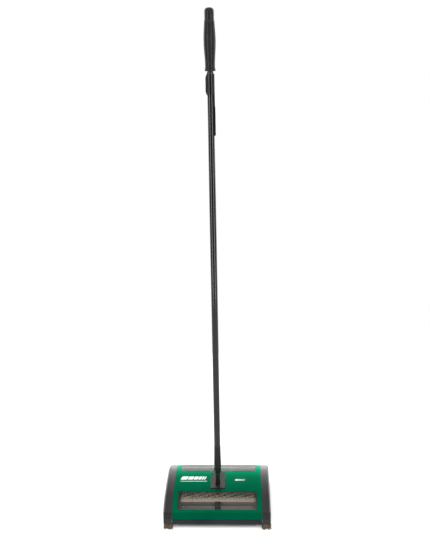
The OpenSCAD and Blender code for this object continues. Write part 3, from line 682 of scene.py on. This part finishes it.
def make_tyre(corner):
    """Rubber tyre with rounded shoulders and three grooves round the tread."""
    low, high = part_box(corner + "_tyre")
    middle = (low + high) / 2
    outer, width = (high.z - low.z) / 2, high.x - low.x
    inner = outer - 3 * MM
    half = width / 2
    profile = [(inner, -half), (outer - 0.9 * MM, -half), (outer - 0.25 * MM, -half + 0.3 * MM),
               (outer, -half + 0.9 * MM)]
    for groove in (-1, 0, 1):
        g = groove * 2.9 * MM
        profile += [(outer, g - 0.7 * MM), (outer - 0.7 * MM, g - 0.4 * MM), (outer - 0.7 * MM, g + 0.4 * MM),
                    (outer, g + 0.7 * MM)]
    profile += [(outer, half - 0.9 * MM), (outer - 0.25 * MM, half - 0.3 * MM), (outer - 0.9 * MM, half),
                (inner, half), (inner, -half)]
    verts, faces = revolve(profile, segments=96)
    turn = Matrix.Translation(middle) @ Matrix.Rotation(math.pi / 2, 4, "Y")
    piece(corner + "_tread", [turn @ v for v in verts], faces, "tyre_rubber", corner + "_wheel",
          [corner + "_tyre"], smooth=35)


def make_pan_springs(side):
    """Two torsion springs on the rod: close turns held by the frame, and a turn whose leg follows the pan."""
    name = "front" if side < 0 else "rear"
    rod_low, rod_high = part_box(name + "_pan_rod")
    y, z = (rod_low.y + rod_high.y) / 2, (rod_low.z + rod_high.z) / 2
    wire, coil, leg = 0.42 * MM, 2.4 * MM, 13 * MM
    start, plate_x = 81.2 * MM, 89 * MM
    turns, pitch, steps = 5, 0.95 * MM, 20

    def around(x, turn):
        a = math.tau * turn
        return Vector((x, y - side * coil * math.sin(a), z - coil * math.cos(a)))

    coils, legs = [], []
    for end in SIDES:
        tip = Vector((end * start, y + side * leg, z - coil))
        legs.append(sweep([tip] + [around(end * start, i / steps) for i in range(steps)], wire))
        points = [around(end * (start + pitch * (1 + i / steps)), i / steps)
                  for i in range(turns * steps + 1)]
        points.append(Vector((end * plate_x, points[-1].y, points[-1].z)))
        coils.append(sweep(points, wire))
    piece(name + "_pan_coils", *joined(coils), "steel", "head", [name + "_pan_springs"], smooth=60)
    piece(name + "_pan_spring_legs", *joined(legs), "steel", name + "_pan", smooth=60)


# ---------------------------------------------------------------- stage

# Brightness of the surround by the z of the direction looked in, -1 straight down to 1 straight up
BACK_LEVELS = (
    (-1, 0.25), (-0.22, 0.3), (-0.12, 0.8), (0.0, 0.84), (0.39, 0.92), (0.44, 0.34), (0.6, 0.3), (0.66, 0.17),
    (1, 0.25))
FRONT_LEVELS = ((-0.36, 0.165), (-0.27, 0.02), (0.0, 0.02), (0.03, 0.08), (0.5, 0.16), (1, 0.25))


def add_softbox(name, azimuth, distance, low, high, width, radiance):
    """An upright softbox that faces the handle; azimuth runs from the front towards the right, in degrees."""
    a = math.radians(azimuth)
    data = bpy.data.lights.new(name, "AREA")
    data.shape = "RECTANGLE"
    data.size, data.size_y = width, high - low
    data.energy = radiance * math.pi * width * (high - low)
    light = bpy.data.objects.new(name, data)
    light.location = (distance * math.sin(a), -distance * math.cos(a), (low + high) / 2)
    light.rotation_euler = (math.pi / 2, 0, a)
    light.visible_camera = False
    bpy.context.scene.collection.objects.link(light)


def add_overhead(strength, lean):
    """Soft light from above, leaning lean degrees towards the front."""
    data = bpy.data.lights.new("overhead", "SUN")
    data.energy = strength
    data.angle = math.radians(36)
    light = bpy.data.objects.new("overhead", data)
    light.location = (0, 0, 3)
    light.rotation_euler = (math.radians(lean), 0, 0)
    light.visible_glossy = False
    bpy.context.scene.collection.objects.link(light)


def add_world():
    """Studio surround: bright behind the object and dimmer above, dark in front and below; white if seen."""
    world = bpy.data.worlds.new("studio")
    bpy.context.scene.world = world
    world.use_nodes = True
    tree = world.node_tree
    direction = add_node(tree, "ShaderNodeTexCoord")
    split = add_node(tree, "ShaderNodeSeparateXYZ", [(0, direction.outputs["Generated"])])
    height = add_node(tree, "ShaderNodeMapRange", [("Value", split.outputs["Z"])], From_Min=-1.0)

    def graded(levels):
        ramp = add_node(tree, "ShaderNodeValToRGB", [("Fac", height.outputs[0])])
        stops = ramp.color_ramp.elements
        while len(stops) < len(levels):
            stops.new(0.5)
        for stop, (z, level) in zip(stops, levels):
            stop.position = 0.5 + 0.5 * z
            stop.color = (level, level, level, 1)
        return ramp.outputs["Color"]

    behind = add_node(tree, "ShaderNodeMapRange", [("Value", split.outputs["Y"])], From_Min=-0.1,
                      From_Max=0.5, interpolation_type="SMOOTHSTEP")
    mix = add_node(tree, "ShaderNodeMix", [("Factor", behind.outputs[0]), ("A", graded(FRONT_LEVELS)),
                                           ("B", graded(BACK_LEVELS))], data_type="RGBA")
    soft = tree.nodes["Background"]
    soft.inputs["Strength"].default_value = 3.0
    tree.links.new(mix.outputs["Result"], soft.inputs["Color"])
    seen = add_node(tree, "ShaderNodeBackground", Color=(1, 1, 1, 1), Strength=1.0)
    path = add_node(tree, "ShaderNodeLightPath")
    either = add_node(tree, "ShaderNodeMixShader", [(0, path.outputs["Is Camera Ray"]), (1, soft.outputs[0]),
                                                    (2, seen.outputs[0])])
    tree.links.new(either.outputs[0], tree.nodes["World Output"].inputs["Surface"])


def add_floor():
    """A round pale table top."""
    radius, steps = 0.9, 96
    rim = [(radius * math.cos(math.tau * i / steps), radius * math.sin(math.tau * i / steps), 0)
           for i in range(steps)]
    mesh = bpy.data.meshes.new("floor")
    mesh.from_pydata(rim, [], [tuple(range(steps))])
    floor = bpy.data.objects.new("floor", mesh)
    floor.visible_glossy = False
    mesh.materials.append(FLOOR_PAINT)
    bpy.context.scene.collection.objects.link(floor)


def add_camera():
    """Looks down at the head from the front, a little from the right, at about standing height."""
    eye = Vector((59.4, -1586.2, 1072.5)) * MM
    yaw, pitch, roll = (math.radians(a) for a in (-2.06, 17.07, 1.06))
    forward = Vector((math.sin(yaw) * math.cos(pitch), math.cos(yaw) * math.cos(pitch), -math.sin(pitch)))
    level = Vector((math.cos(yaw), -math.sin(yaw), 0))
    upright = level.cross(forward)
    right = level * math.cos(roll) - upright * math.sin(roll)
    up = upright * math.cos(roll) + level * math.sin(roll)
    data = bpy.data.cameras.new("camera")
    data.lens, data.sensor_width = 51.74, 36
    camera = bpy.data.objects.new("camera", data)
    place = Matrix((right, up, -forward)).transposed().to_4x4()
    place.translation = eye
    camera.matrix_world = place
    bpy.context.scene.collection.objects.link(camera)
    bpy.context.scene.camera = camera


def add_lights():
    """A broad overhead light and two tall, narrow softboxes that draw the stripes on the handle."""
    add_overhead(strength=3.4, lean=40)
    for name, azimuth in (("left_softbox", -40), ("right_softbox", 42)):
        add_softbox(name, azimuth, distance=1.5, low=-0.02, high=1.3, width=0.32, radiance=4.0)


# ---------------------------------------------------------------- build

add_camera()
add_world()
add_floor()
add_lights()
bpy.context.scene.view_settings.view_transform = "Standard"

make_cover()
make_prints()
make_brush()
make_grip()
for side in SIDES:
    make_pane(side)
    make_cap(side)
    make_bumper(side)
    make_pan_springs(side)
for corner in CORNERS:
    make_tuft(corner)
    make_tyre(corner)

node_slots = {part["node"]: part["material_slot"] for part in frame["record"]["subparts"]}
for name, obj in frame["nodes"].items():
    if not obj.hide_render:
        dress_node(name, FINISHES.get(name, MATERIALS[node_slots[name]]), BEVELS.get(name, 0.0))
